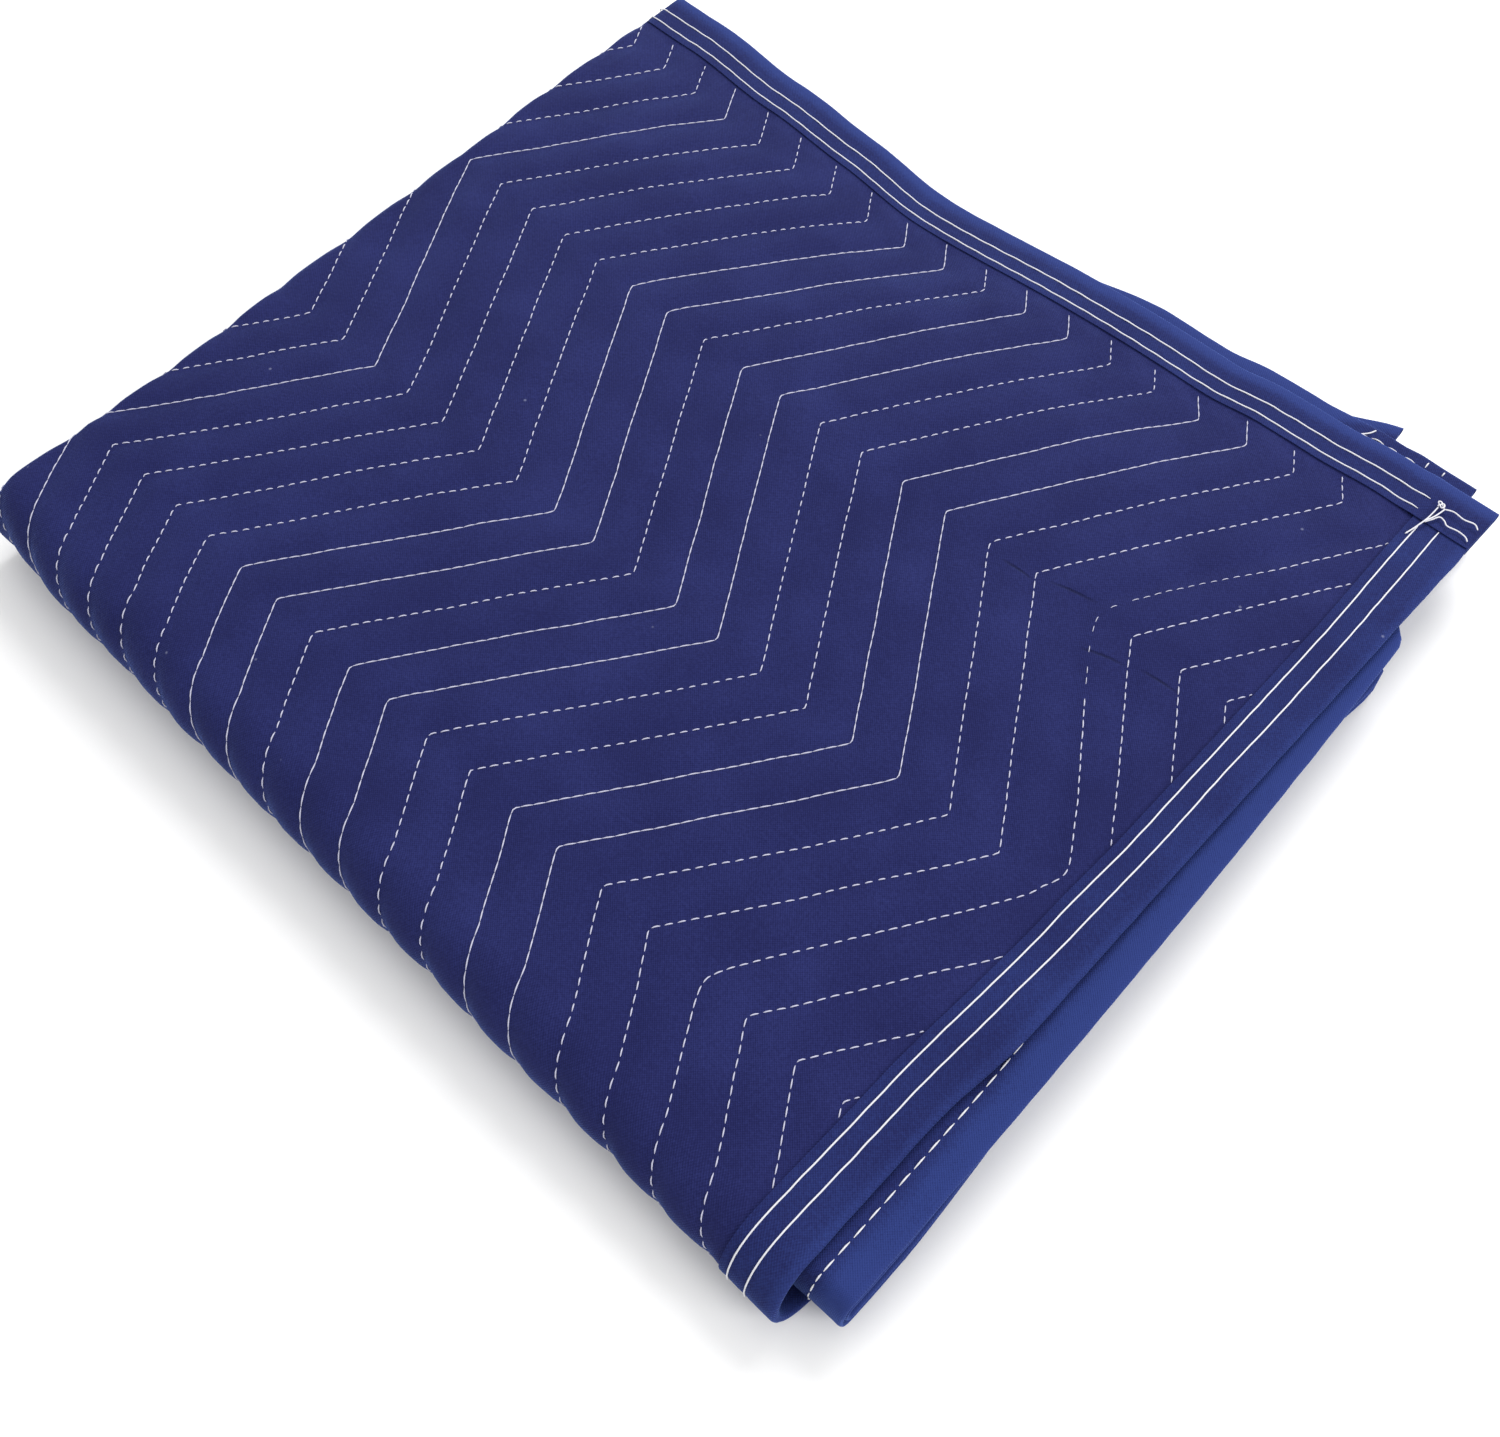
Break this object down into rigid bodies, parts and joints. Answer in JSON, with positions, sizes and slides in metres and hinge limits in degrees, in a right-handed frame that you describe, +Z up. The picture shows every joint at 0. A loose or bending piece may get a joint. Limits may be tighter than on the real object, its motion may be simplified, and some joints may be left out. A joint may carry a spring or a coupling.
{
  "type": "moving blanket",
  "caption": "Folded quilted furniture-moving blanket with zigzag channels and bound, double-stitched edges, laid flat as a neat stack.",
  "frame": {"origin": "middle of the folded stack's box, on the ground", "axes": "+X along the last fold, towards the two bound long edges; +Y across the last fold, towards the bound end on top; +Z up"},
  "size_m": [0.5294, 0.4812, 0.0422],
  "materials": {
    "quilted_fabric": "matte navy nonwoven with a fine embossed dot grid",
    "edge_binding": "matte navy nonwoven strip"
  },
  "bodies": {
    "root": {"quilted_cloth": "quilted_fabric", "binding_long_upper": "edge_binding", "binding_long_lower": "edge_binding", "binding_end_inner": "edge_binding", "binding_end_top": "edge_binding"}
  },
  "joints": []
}
